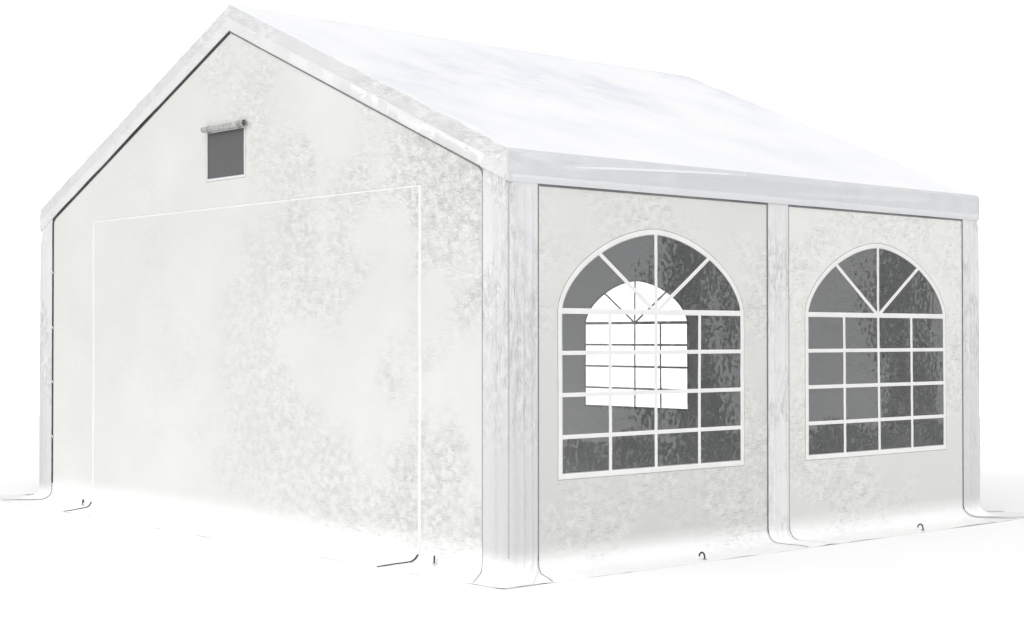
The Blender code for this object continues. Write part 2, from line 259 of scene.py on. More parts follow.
def clear_film():
    """Clear soft vinyl film, calendered: glassy and hazy grey. Its colour is painted lighter and darker in broad
    upright bands, a painted reflection that repeats from window to window and darkens low on each window. The bands'
    edges break up into short wandering creases, and pale squiggles on the dark bands are painted glints."""
    made, add, shader, place = new_material("clear_vinyl_film")
    axes = add("SeparateXYZ", {0: place}, out=None).outputs
    turns = {0: axes["Y"], 1: 2 * pi / WINDOW_PITCH, 2: -2 * pi * REFLECTION_DARK_MIDDLE / WINDOW_PITCH}
    wave = add("Math", turns, operation="MULTIPLY_ADD")
    upright = add("Math", {0: wave}, operation="COSINE")
    spread = {"Value": axes["Z"], "From Min": 0.58, "From Max": 0.74, "To Min": 1.0, "To Max": -1.0}
    foot = add("MapRange", spread)
    bands = add("Math", {0: upright, 1: foot}, operation="MAXIMUM")
    drift = blotches(add, place, 0.30, -0.5, 0.5, detail=1.0, stretch=(1, 1, 0.4))
    creases = blotches(add, place, 0.026, -0.6, 0.6, start=0.25, end=0.75, detail=1.5, stretch=(1, 1, 0.85))
    drifted = add("Math", {0: bands, 1: drift}, operation="ADD")
    broken = add("Math", {0: drifted, 1: creases}, operation="ADD")
    painted_reflection_mask = add("MapRange", {"Value": broken, "From Min": 0.30, "From Max": 0.60}, interpolation_type="SMOOTHSTEP")
    # Painted reflection: light grey where the film mirrors bright surroundings, dark grey between the bands
    grey = add("MixRGB", {"Fac": painted_reflection_mask, "Color1": linear("#aeafb1"), "Color2": linear("#626365")})
    # Painted glints: pale squiggles on the dark bands
    glints = squiggles(add, place, 0.050, 0.036, (1, 1, 0.6))
    on_dark = add("Math", {0: glints, 1: painted_reflection_mask}, operation="MULTIPLY")
    faint = add("Math", {0: on_dark, 1: 0.55}, operation="MULTIPLY")
    colour = add("MixRGB", {"Fac": faint, "Color1": grey, "Color2": linear("#c4c5c7")})
    facets = crumple(add, place, 0.05)
    folds = add("Bump", {"Height": facets, "Distance": 0.002})
    normal = add("Bump", {"Height": painted_reflection_mask, "Distance": 0.002, "Normal": folds})
    feed(shader, {"Base Color": colour, "Normal": normal, "Roughness": 0.10, "IOR": 1.54})
    clear = add("BsdfTransparent", {"Color": linear("#f4f5f5")})
    mix = add("MixShader", {"Fac": 0.38, 1: clear, 2: shader.outputs["BSDF"]})
    feed(made.node_tree.nodes["Material Output"], {"Surface": mix})
    return made


def plain_vinyl(name, colour, worn, rough, grain=0.004, depth=0.0002, glow=0.0):
    """Vinyl strip, extruded and welded on: even colour, a little grime in patches and a fine grain. glow is how
    much of the light scatters inside it, so that it stands pale before the daylight."""
    made, add, shader, place = new_material(name)
    tone = blotches(add, place, 0.12)
    mixed = add("MixRGB", {"Fac": tone, "Color1": linear(colour), "Color2": linear(worn)})
    grains = add("TexNoise", {"Vector": place, "Scale": 1 / grain, "Detail": 2.0})
    rough_face = add("Bump", {"Height": grains, "Distance": depth})
    feed(shader, {"Base Color": mixed, "Normal": rough_face, "Roughness": rough, "Subsurface Weight": glow,
                  "Subsurface Radius": (1.0, 1.0, 1.0), "Subsurface Scale": 0.003})
    return made


def fly_mesh():
    """Glass-fibre fly mesh, woven and coated grey. Its 1.5 mm holes are drawn 6 mm apart so that they show."""
    made, add, shader, place = new_material("grey_fly_mesh")
    threads = [add("TexWave", {"Vector": place, "Scale": 52.0}, bands_direction=way) for way in "XZ"]
    weave = add("Math", {0: threads[0], 1: threads[1]}, operation="MAXIMUM")
    colour = add("MixRGB", {"Fac": weave, "Color1": linear("#353536"), "Color2": linear("#6c6c6d")})
    raised = add("Bump", {"Height": weave, "Distance": 0.001})
    feed(shader, {"Base Color": colour, "Normal": raised, "Roughness": 0.6})
    return made


def galvanised_steel():
    """Hot-dip galvanised tube: matt grey zinc with spangles about 15 mm wide, and streaks along the draw."""
    made, add, shader, place = new_material("galvanised_steel")
    spangle = add("TexVoronoi", {"Vector": place, "Scale": 66.0}, out="Color")
    grey = add("RGBToBW", {"Color": spangle})
    colour = add("MixRGB", {"Fac": grey, "Color1": linear("#a4a8aa"), "Color2": linear("#c4c7c9")})
    rough = add("MapRange", {"Value": grey, "To Min": 0.32, "To Max": 0.52})
    scratch = blotches(add, place, 0.006, stretch=(1, 1, 0.1))
    drawn = add("Bump", {"Height": scratch, "Distance": 0.0001})
    feed(shader, {"Base Color": colour, "Roughness": rough, "Normal": drawn, "Metallic": 1.0})
    return made


# low darkens the walls and covers towards the ground, painted shade, and foot whitens their skirts, painted light
MATERIALS = {
    # The gable's crinkle tones average darker than its cloth and grow towards its right, so it darkens that way:
    # painted shade
    "gable": coated_cloth("coated_gable_tarpaulin", "#e3e3e0", "#dcdcd9", 0.34, 0.042, 0.004, 0.50, "#b0b0ac",
                          "#e4e4e2", foot=0.20, calm=("X", -1.2, 2.1)),
    "front_wall": coated_cloth("coated_front_wall_tarpaulin", "#e3e3e0", "#dcdcd9", 0.34, 0.042, 0.004, 0.32,
                               foot=0.15, low="#d1d1ce"),
    "back_wall": coated_cloth("coated_back_wall_tarpaulin", "#eeeeeb", "#e8e8e5", 0.34, 0.042, 0.004, 0.32,
                              "#d0d0cc", "#fafaf8", foot=0.15, low="#dadad7"),
    # The roof's blue-grey crinkle tone, growing towards the ridge, is painted shadow in its wrinkles; its white is
    # painted highlight
    "roof": coated_cloth("coated_roof_tarpaulin", "#fcfcfd", "#f5f6fa", 0.42, 0.22, 0.004, 0.40, "#dfe4f3",
                         "#ffffff", patch_size=1.1, calm=("Z", 2.1, 2.7)),
    # The valance is the roof sheet's own cloth, coloured darker and bluer than the roof: painted shade under the eave
    "valance": coated_cloth("valance_tarpaulin_painted_shade", "#dcdddf", "#d6d7da", 0.40, 0.16, 0.003, 0.16, "#c4c6ca"),
    "valance_hem": coated_cloth("valance_hem_tarpaulin", "#e4e5e7", "#dfe0e3", 0.40, 0.12, 0.003, 0.1),
    # Paler than the valance: a painted highlight along the fold's crest
    "valance_crest": coated_cloth("painted_crest_highlight_tarpaulin", "#f0f1f2", "#eaebed", 0.40, 0.12, 0.003, 0.1),
    "rake": coated_cloth("coated_rake_tarpaulin", "#dedede", "#d6d6d6", 0.38, 0.10, 0.005, 0.28, "#bfbfc1"),
    "rake_hem": coated_cloth("rake_hem_tarpaulin", "#e5e5e5", "#dfdfdf", 0.40, 0.12, 0.003, 0.15),
    # The flap's grey is darkened to stand in for the shade under and at the end of its roll: painted shade
    "flap": coated_cloth("rolled_flap_tarpaulin_painted_shade", "#b6b6b5", "#8e8e8d", 0.34, 0.030, 0.004, 0.4, "#6c6c6b", "#d8d8d7"),
    "cover": coated_cloth("coated_cover_tarpaulin", "#e8e8e8", "#dfdfdf", 0.26, 0.045, 0.006, 0.45, "#cacacb",
                          "#f4f4f4", upright=True, patch_size=0.42, calm=("Z", 0.2, 0.9), low="#d3d3d3", foot=0.13),
    "middle_cover": coated_cloth("coated_middle_cover_tarpaulin", "#ebebeb", "#e2e2e2", 0.26, 0.045, 0.006, 0.45,
                                 "#c8c8c9", "#fafafa", upright=True, patch_size=0.42, foot=0.13),
    "film": clear_film(),
    "bar": plain_vinyl("white_vinyl_strip", "#f3f3f2", "#ebebe9", 0.38),
    "back_bar": plain_vinyl("translucent_vinyl_strip", "#fbfbfa", "#f3f3f1", 0.38, glow=0.7),
    # Grey strips round the window and vent frames and down the covers' corners: painted shadow lines along the welds
    "outline": plain_vinyl("grey_weld_painted_shadow", "#b4b4b2", "#a0a09e", 0.5),
    "shadow_weld": plain_vinyl("grey_corner_painted_shadow", "#c2c2c3", "#b2b2b3", 0.5),
    "seam": plain_vinyl("seam_thread", "#f6f6f4", "#ecece9", 0.5),
    "ridge_seam": plain_vinyl("grey_seam_tape", "#b9bcc1", "#a9acb2", 0.5),
    # Black and grey strips in the panels' joints and the door's slits: painted shadow of the gaps there, drawn as keder
    # and piping
    "edging": plain_vinyl("black_keder_painted_shadow", "#1c1d1e", "#2c2d2e", 0.45),
    "grey_edging": plain_vinyl("dark_grey_keder_painted_shadow", "#6e6f70", "#7c7d7e", 0.45),
    "faint_edging": plain_vinyl("grey_piping_painted_shadow", "#a8a8a8", "#8e8e8e", 0.45),
    "zip": plain_vinyl("white_nylon_zip", "#f8f8f6", "#f0f0ed", 0.45, 0.006, 0.0006),
    "lace": plain_vinyl("white_lacing_cord", "#f4f4f2", "#dededb", 0.6, 0.003, 0.0006),
    "mesh": fly_mesh(),
    "steel": galvanised_steel(),
    "peg": plain_vinyl("blackened_steel_peg", "#2a2a2b", "#4a4642", 0.4),
}


# Making pieces

def add_object(name, data):
    thing = bpy.data.objects.new(name, data)
    bpy.context.scene.collection.objects.link(thing)
    return thing


def add_piece(name, shape, finishes, smooth_angle=40):
    """Makes the bmesh a piece that rides on the tent."""
    mesh = bpy.data.meshes.new(name)
    shape.to_mesh(mesh)
    shape.free()
    mesh.shade_smooth()
    mesh.set_sharp_from_angle(angle=radians(smooth_angle))
    for finish in finishes:
        mesh.materials.append(MATERIALS[finish])
    piece = add_object(name, mesh)
    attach(piece, "root")
    return piece


def thicken(piece, thickness=FABRIC):
    wall = piece.modifiers.new("thickness", "SOLIDIFY")
    wall.thickness = thickness
    wall.offset = -1
    return piece


def billow(face, across, height):
    """How far a wall's sheet stands out of its plane, where nothing holds it."""
    seed = SEEDS[face]
    if face in ("front", "back"):
        held = HALF_WIDTH - COVER_LEG - abs(across)
        top = RIDGE_Z - abs(across) * SLOPE - VALANCE
    else:
        held = min(abs(across) - MID_COVER, HALF_LENGTH - COVER_LEG - abs(across))
        top = VALANCE_EDGE
    free = smooth(0.0, 0.16, held) * smooth(0.0, 0.14, top - height) * smooth(0.06, 0.35, height)
    if free == 0:
        return 0.0
    swell = 0.006 * swirl(across, height * 0.8, seed, 1.3)
    pulled = 0.0022 * (0.35 - abs(swirl(across + 0.5 * height, height * 2.2, seed + 5, 3.2)))
    creased = 0.0016 * (0.35 - abs(swirl(across * 0.8 - 0.3 * height, height, seed + 9, 8.5)))
    small = 0.0005 * swirl(across, height * 1.6, seed + 13, 21)
    return free * (swell + pulled + creased + small)


def ripple(x, y):
    """How far the skirt lifts off the ground at a place: nowhere below it."""
    past = max(abs(x) - HALF_WIDTH, abs(y) - HALF_LENGTH)
    lift = swirl(x, y, 2.0, 3.1) + 0.5 * swirl(x, y, 7.0, 9.0)
    return 0.007 * smooth(0.09, 0.2, past) * max(0.0, lift)


def lean(face, across):
    """How much the skirt slews sideways for each metre that it goes out, at the door's left slit and the near
    corner."""
    if face != "front":
        return 0.0
    return 0.75 * exp(-((across - DOOR_LEFT) / 0.35) ** 2) + 0.32 * exp(-((across - 2.27) / 0.09) ** 2)


def drop(height, lift):
    """Out from the tent's side, and up, at a height that follows the fabric down and along the skirt."""
    reach = BEND_TOP - height
    turn = min(max(reach / BEND_R, 0.0), pi / 2)
    past = max(reach - BEND_R * pi / 2, 0.0)
    out = BEND_OUT - (BEND_R - lift) * cos(turn) + past
    up = BEND_TOP - (BEND_R - lift) * sin(turn) + max(-reach, 0.0)
    return out, up


def on_wall(face, across, height, lift=0.0):
    """A point on a wall's outer face, or as far in front of it as lift says."""
    along, outward, half, edge = FACES[face]
    out, up = drop(height, lift + billow(face, across, height))
    slack = max(out - lift + WALL_DEPTH, 0.0) if height < BEND_TOP else 0.0
    spread = slack * (min(abs(across) / edge, 1.0)) ** 6
    across += spread * (1 if across > 0 else -1) + slack * lean(face, across)
    point = along * across + outward * (half + out)
    point.z = up + ripple(point.x, point.y)
    return point


def pin(face):
    """Places strips on a face of the tent."""
    return lambda across, height, lift: on_wall(face, across, height, lift)


def flat_cut(low, high, bottom, top, cell):
    """A flat piece of cloth in (across, height), cut to a box."""
    shape = bmesh.new()
    columns, rows = ceil((high - low) / cell), ceil((top - bottom) / cell)
    bmesh.ops.create_grid(shape, x_segments=columns, y_segments=rows, size=0.5)
    for point in shape.verts:
        point.co.x = low + (point.co.x + 0.5) * (high - low)
        point.co.y = bottom + (point.co.y + 0.5) * (top - bottom)
    return shape


def score(shape, across=0.0, height=0.0, facing=(1, 0, 0), clear=False):
    """Cuts the cloth's faces along one line, and leaves them joined, or clears what lies beyond it."""
    everything = shape.verts[:] + shape.edges[:] + shape.faces[:]
    bmesh.ops.bisect_plane(shape, geom=everything, dist=1e-5, plane_co=Vector((across, height, 0)),
                           plane_no=Vector(facing).normalized(), clear_outer=clear)


def trim(shape, outside):
    """Deletes the faces whose middle is outside."""
    lost = [face for face in shape.faces if outside(face.calc_center_median())]
    bmesh.ops.delete(shape, geom=lost, context="FACES")


def arch_reach(window, grow, point):
    """How far out of an arched window's outline a point is: 1 is on the outline, in the arch."""
    across = abs(point.x - window["middle"]) / (window["half"] + grow)
    up = (point.y - window["spring"]) / (window["top"] + grow - window["spring"])
    if up < 0:
        return 2.0 if point.y < window["bottom"] - grow else across
    return (across ** ARCH_POWER + up ** ARCH_POWER) ** (1 / ARCH_POWER)


def cut_arch(shape, window, grow, keep_inside):
    """Cuts an arched opening out of the cloth, or the cloth to the arch."""
    for side in (-1, 1):
        score(shape, across=window["middle"] + side * (window["half"] + grow))
    for height in (window["bottom"] - grow, window["spring"]):
        score(shape, height=height, facing=(0, 1, 0))
    trim(shape, lambda middle: (arch_reach(window, grow, middle) > 1) == keep_inside)
    edge = {point for side in shape.edges if side.is_boundary for point in side.verts}
    for point in edge:
        reach = arch_reach(window, grow, point.co)
        if point.co.y > window["spring"] + 1e-4 and 0.9 < reach < 1.1:
            middle = Vector((window["middle"], window["spring"], 0))
            point.co = middle + (point.co - middle) / reach


def cut_box(shape, low, high, bottom, top, keep_inside):
    for across in (low, high):
        score(shape, across=across)
    for height in (bottom, top):
        score(shape, height=height, facing=(0, 1, 0))
    trim(shape, lambda middle: (low < middle.x < high and bottom < middle.y < top) != keep_inside)


def face_out(shape, out):
    """Turns the cloth's outer side the way that out points."""
    shape.normal_update()
    widest = max(shape.faces, key=lambda item: abs(item.normal.dot(out)) * item.calc_area())
    if widest.normal.dot(out) < 0:
        bmesh.ops.reverse_faces(shape, faces=shape.faces)
        shape.normal_update()
    return shape


def hang(shape, face, lift=0.0, shift=None):
    """Hangs the flat cloth on its face of the tent."""
    for point in shape.verts:
        extra = shift(point.co) if shift else 0.0
        point.co = on_wall(face, point.co.x, point.co.y, lift + extra)
    return face_out(shape, FACES[face][1])


# Strips that follow the cloth

FLAT = "flat"
ROUND = "round"
STEP = 0.03
ARCH_STEPS = 44


def section(kind, width, thickness):
    """Closed outline of a strip: (sideways, up from the cloth)."""
    half = width / 2
    if kind == FLAT:
        edge = min(half * 0.4, 0.002)
        return [(-half, -0.001), (-half, thickness * 0.5), (-half + edge, thickness),
                (half - edge, thickness), (half, thickness * 0.5), (half, -0.001)]
    turns = [radians(angle) for angle in range(-135, 225, 45)]
    return [(half * sin(turn), thickness / 2 + thickness / 2 * cos(turn)) for turn in turns][::-1]


def strip(shape, place, path, outline, closed=False):
    """Lofts the outline along a path of (across, height) points on the cloth."""
    path = [Vector(point) for point in path]
    count, wide = len(path), len(outline)
    grid = bmesh.ops.create_grid(shape, x_segments=count if closed else count - 1, y_segments=wide, size=0.5)
    made = grid["verts"]
    steps = count if closed else count - 1
    for point in made:
        index = round((point.co.x + 0.5) * steps) % count
        side, up = outline[round((point.co.y + 0.5) * wide) % wide]
        first, last = not closed and index == 0, not closed and index == count - 1
        arriving = (path[index] - path[index - 1]).normalized()
        leaving = (path[(index + 1) % count] - path[index]).normalized()
        onward = leaving if first else arriving if last else (arriving + leaving).normalized()
        side /= 1.0 if first or last else max(onward.dot(leaving), 0.5)
        here = path[index] + Vector((onward.y, -onward.x)) * side
        point.co = place(here.x, here.y, up)
    bmesh.ops.remove_doubles(shape, verts=made, dist=1e-6)


def finish_strips(shape):
    """Closes the strips' ends and turns every face outwards."""
    open_edges = [edge for edge in shape.edges if edge.is_boundary]
    bmesh.ops.holes_fill(shape, edges=open_edges, sides=0)
    bmesh.ops.recalc_face_normals(shape, faces=shape.faces)
    return shape


def line(start, end):
    """Points from start to end, at most a step apart."""
    start, end = Vector(start), Vector(end)
    count = max(1, ceil((end - start).length / STEP))
    return [start.lerp(end, index / count) for index in range(count + 1)]


def route(*corners):
    points = []
    for start, end in zip(corners, corners[1:]):
        points += line(start, end)[:-1]
    return [*points, Vector(corners[-1])]


def add_strips(name, place, paths, kind, width, thickness, finish, closed=False):
    shape = bmesh.new()
    for path in paths:
        strip(shape, place, path, section(kind, width, thickness), closed)
    return add_piece(name, finish_strips(shape), [finish])


def arch_path(window, grow):
    """Closed outline of an arched window, from its lower left corner."""
    middle, half = window["middle"], window["half"] + grow
    low, spring, rise = window["bottom"] - grow, window["spring"], window["top"] + grow - window["spring"]
    curve = []
    for turn in (pi * i / ARCH_STEPS for i in range(ARCH_STEPS + 1)):
        across = abs(cos(turn)) ** (2 / ARCH_POWER) * (1 if turn < pi / 2 else -1)
        up = max(sin(turn), 0.0) ** (2 / ARCH_POWER)
        curve.append(Vector((middle + half * across, spring + rise * up)))
    near, far = middle - half, middle + half
    return route((near, low), (far, low), (far, spring))[:-1] + curve + line((near, spring), (near, low))[1:-1]


# Windows

def film_shift(face, window):
    """Ripples of a window's film, still at its edge."""
    def shift(point):
        reach = arch_reach(window, 0.0, point)
        loose = smooth(0.0, 0.12, 1.0 - reach) * smooth(0.0, 0.08, point.y - window["bottom"])
        seed = SEEDS[face] + 40
        wave = swirl(point.x, point.y, seed, 6.0) + 0.6 * swirl(point.x, point.y, seed + 3, 15.0)
        return 0.0022 * loose * wave
    return shift


def add_window(name, face, window, nodes, finish="bar"):
    """An arched window: film from behind, a welded frame with a grey strip round it, a painted shadow line, and bars.
    """
    place = pin(face)
    middle, half = window["middle"], window["half"]
    shape = flat_cut(middle - half, middle + half, window["bottom"], window["top"], 0.02)
    cut_arch(shape, window, -FILM_LAP, keep_inside=True)
    film = add_piece(f"film_{name}", hang(shape, face, FILM_DEPTH, film_shift(face, window)), ["film"])
    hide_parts(nodes)

    edge = arch_path(window, -FRAME_BAND / 2)
    # Painted shadow line: a grey strip a little wider than the frame, under it
    shadow_weld = add_strips(f"painted_shadow_line_{name}", place, [edge], FLAT, FRAME_BAND + 0.008, WELD_TALL, "outline", closed=True)
    band = add_strips(f"window_frame_{name}", place, [edge], FLAT, FRAME_BAND, FRAME_TALL, finish, closed=True)
    inner, base, spring = half - FRAME_BAND, window["bottom"], window["spring"]
    rise = window["top"] - FRAME_BAND - spring
    foot = base + FRAME_BAND - 0.004
    hub = (middle, spring)
    uprights = [line((across, foot), (across, spring)) for across in (middle - inner / 2, middle, middle + inner / 2)]
    uprights.append(line(hub, (middle, spring + rise + 0.004)))
    uprights += [line(hub, (middle + side * inner * 0.61, spring + rise * 0.725)) for side in (-1, 1)]
    bars = add_strips(f"window_uprights_{name}", place, uprights, FLAT, window["bar"], 0.0010, finish)
    levels = [line((middle - inner - 0.004, level), (middle + inner + 0.004, level))
              for level in (base + (spring - base) * row / 4 for row in (1, 2, 3, 4))]
    rails = add_strips(f"window_rails_{name}", place, levels[:3], FLAT, window["bar"], 0.0016, finish)
    header = add_strips(f"window_header_{name}", place, levels[3:], FLAT, window["header"], FRAME_TALL, finish)


# Walls

def add_skirt_hem(name, face, finish, *ends):
    """The hem along the skirt's edge, in stretches between pairs of ends."""
    paths = [line((low, SKIRT_EDGE + HEM_UP), (high, SKIRT_EDGE + HEM_UP)) for low, high in zip(ends[::2], ends[1::2])]
    return add_strips(f"skirt_hem_{name}", pin(face), paths, FLAT, HEM_WIDTH, 0.0012, finish)


def add_side_walls():
    for face in ("left", "right"):
        for bay, way in (("front", -1), ("back", 1)):
            cloth = f"{bay}_wall"
            name = f"{bay}_{face}"
            window = BAY_WINDOWS[bay]
            ends = sorted((way * WALL_GAP, way * (POST_Y - WALL_GAP)))
            shape = flat_cut(*ends, SKIRT_EDGE, WALL_TOP, 0.017)
            cut_arch(shape, window, -FRAME_BAND, keep_inside=False)
            wall = thicken(add_piece(f"wall_sheet_{name}", hang(shape, face), [cloth]))
            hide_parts(f"side_wall_{name}")
            tape = add_skirt_hem(name, face, cloth, *ends)
            add_window(name, face, window, f"window_film_{name}")


def vent_box(face):
    middle = VENT["middle"] if face == "front" else -VENT["middle"]
    return middle - VENT["half"], middle + VENT["half"], VENT["bottom"], VENT["top"]


def gable_cloth(face):
    """A gable's whole cloth, flat, cut along its rakes under the roof sheet, with its vent cut out."""
    edge = POST_X - WALL_GAP
    shape = flat_cut(-edge, edge, SKIRT_EDGE, RIDGE_Z - 0.01, 0.019)
    for side in (-1, 1):
        score(shape, height=RIDGE_Z - RAKE_GAP, facing=(side * SLOPE, 1, 0), clear=True)
    cut_box(shape, *vent_box(face), keep_inside=False)
    return shape


def add_vent(face):
    """A screened vent with its frame, and its flap rolled up and strapped over it."""
    low, high, bottom, top = vent_box(face)
    middle = (low + high) / 2 + ROLL_SHIFT * (1 if face == "front" else -1)
    shape = flat_cut(low - FILM_LAP, high + FILM_LAP, bottom - FILM_LAP, top + FILM_LAP, 0.02)
    screen = add_piece(f"vent_screen_{face}", hang(shape, face, FILM_DEPTH), ["mesh"])
    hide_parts(f"vent_mesh_{face}")
    rim = 0.006
    near, far, foot, head = low - rim, high + rim, bottom - rim, top + rim
    outline = route((near, foot), (far, foot), (far, head), (near, head), (near, foot))[:-1]
    border = add_strips(f"vent_border_{face}", pin(face), [outline], FLAT, 0.014, 0.0015, "rake_hem", closed=True)
    # Painted shadow line: a grey strip a little wider than the border, under it
    shadow_weld = add_strips(f"vent_weld_line_{face}", pin(face), [outline], FLAT, 0.020, WELD_TALL, "outline", closed=True)

    roll = bmesh.new()
    half = ROLL_LENGTH / 2
    steps = 65
    bmesh.ops.create_grid(roll, x_segments=24, y_segments=steps, size=0.5)
    along, outward, depth, _ = FACES[face]
    for point in roll.verts:
        share, wound = point.co.x + 0.5, round((point.co.y + 0.5) * steps) / steps
        radius = ROLL_R * (0.28 + 0.72 * wound)
        side, up = radius * cos(2 * pi * ROLL_TURNS * wound), radius * sin(2 * pi * ROLL_TURNS * wound)
        squeeze = 1 - 0.20 * max(exp(-((share - at) / 0.03) ** 2) for at in STRAP_SHARES)
        squeeze *= 1 + 0.08 * swirl(share * 4, 0, SEEDS[face], 2)
        sag = 0.004 * sin(pi * share) + 0.0020 * swirl(share * 3, 0, SEEDS[face] + 2, 2)
        point.co = along * (middle - half + share * ROLL_LENGTH) + outward * (depth + ROLL_OUT + side * squeeze)
        point.co.z = top + 0.018 - sag + up * squeeze
    bmesh.ops.recalc_face_normals(roll, faces=roll.faces)
    flap = thicken(add_piece(f"rolled_flap_{face}", roll, ["flap"]), 0.0008)
    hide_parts(f"vent_flap_roll_{face}")
    straps = bmesh.new()
    for at in STRAP_SHARES:
        across = middle - half + at * ROLL_LENGTH
        ring = bmesh.ops.create_cone(
            straps, segments=20, radius1=ROLL_R * 0.98, radius2=ROLL_R * 0.98, depth=0.022, cap_ends=True,
            matrix=Matrix.Translation(along * across + outward * (depth + ROLL_OUT) + Vector((0, 0, top + 0.0165)))
            @ along.to_track_quat("Z", "Y").to_matrix().to_4x4())
        caps = [item for item in straps.faces if len(item.verts) > 4 and item.verts[0] in ring["verts"]]
        bmesh.ops.inset_region(straps, faces=caps, thickness=0.002, depth=-0.001)
    bands = add_piece(f"flap_straps_{face}", straps, ["flap"])


def add_zip(name, across):
    """A zip from the door's head to the foot: its sewn tape, which wanders a little, and the coil down its middle."""
    def place(sideways, height, lift):
        return on_wall("front", sideways + 0.006 * swirl(height, across, 3.0, 1.7), height, lift)

    def on_tape(sideways, height, lift):
        return place(sideways, height, lift + 0.0012)

    path = [line((across, DOOR_TOP), (across, 0.05))]
    return [add_strips(f"zip_tape_{name}", place, path, FLAT, 0.021, 0.0016, "zip"),
            add_strips(f"zip_coil_{name}", on_tape, path, ROUND, 0.005, 0.0022, "zip")]


def add_gables():
    front = gable_cloth("front")
    cut_box(front, DOOR_LEFT, DOOR_RIGHT, -1.0, DOOR_TOP, keep_inside=False)
    wall = thicken(add_piece("wall_sheet_front", hang(front, "front"), ["gable"]))
    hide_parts("front_wall")
    leaf = gable_cloth("front")
    inset = 0.001
    cut_box(leaf, DOOR_LEFT + inset, DOOR_RIGHT - inset, -1.0, DOOR_TOP - inset, keep_inside=True)
    door = thicken(add_piece("door_sheet", hang(leaf, "front"), ["gable"]))
    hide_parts("door_flap")
    zips = add_zip("left", DOOR_LEFT) + add_zip("right", DOOR_RIGHT)
    top = line((DOOR_LEFT - 0.008, DOOR_TOP), (DOOR_RIGHT + 0.008, DOOR_TOP))
    zips.append(add_strips("door_head_seam", pin("front"), [top], FLAT, 0.007, 0.0006, "seam"))
    back = gable_cloth("back")
    cut_arch(back, BACK_WINDOW, -FRAME_BAND, keep_inside=False)
    rear = thicken(add_piece("wall_sheet_back", hang(back, "back"), ["gable"]))
    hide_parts("back_wall")
    add_window("back", "back", BACK_WINDOW, "window_film_back", "back_bar")
    for face in ("front", "back"):
        add_vent(face)
        slits = [door + gap for door in (DOOR_LEFT, DOOR_RIGHT) for gap in (-0.004, 0.004)] if face == "front" else []
        add_skirt_hem(face, face, "gable", -GABLE_HEM, *slits, GABLE_HEM)


# Post covers

LEG_STEPS = 26
BEND_STEPS = 10


def corner_plan():
    """Plan of a corner cover, from the gable leg's end round the post to the side leg's: (x, y, facing)."""
    plan = []
    for step in range(LEG_STEPS):
        x = HALF_WIDTH - COVER_LEG + (POST_X - HALF_WIDTH + COVER_LEG) * step / LEG_STEPS
        plan.append((Vector((x, HALF_LENGTH - LAYER)), Vector((0, 1))))
    for step in range(BEND_STEPS + 1):
        turn = pi / 2 - pi / 2 * step / BEND_STEPS
        facing = Vector((cos(turn), sin(turn)))
        plan.append((Vector((POST_X, POST_Y)) + facing * CORNER_R, facing))
    for step in range(1, LEG_STEPS + 1):
        y = POST_Y + (HALF_LENGTH - COVER_LEG - POST_Y) * step / LEG_STEPS
        plan.append((Vector((HALF_WIDTH - LAYER, y)), Vector((1, 0))))
    return plan


def pleat(run, height, seed, folds):
    """How far a post cover stands proud. Its folds run down it, and die out under the valance. Each fold has its
    place across the cover, half its width, and its height."""
    free = smooth(0.0, 0.10, VALANCE_EDGE - height) * smooth(-0.15, 0.1, height)
    if free == 0:
        return 0.0
    wander = run + 0.007 * swirl(height, seed, 1.0, 1.6)
    proud = sum(tall * exp(-((wander - at) / half) ** 2) for at, half, tall in folds)
    dent = 0.0035 * (0.35 - abs(swirl(run * 2.2, height, seed + 3, 9)))
    dent += 0.0020 * (0.35 - abs(swirl(run * 1.5, height, seed + 7, 22)))
    return free * max(0.0, proud + dent)


CORNER_R = HALF_WIDTH - POST_X - LAYER
CORNER_FOLDS = ((0.098, 0.013, 0.013), (0.156, 0.012, 0.015), (0.195, 0.035, 0.008), (0.262, 0.012, 0.011),
                (0.312, 0.014, 0.013))
MIDDLE_FOLDS = ((-0.040, 0.012, 0.006), (0.050, 0.012, 0.010))


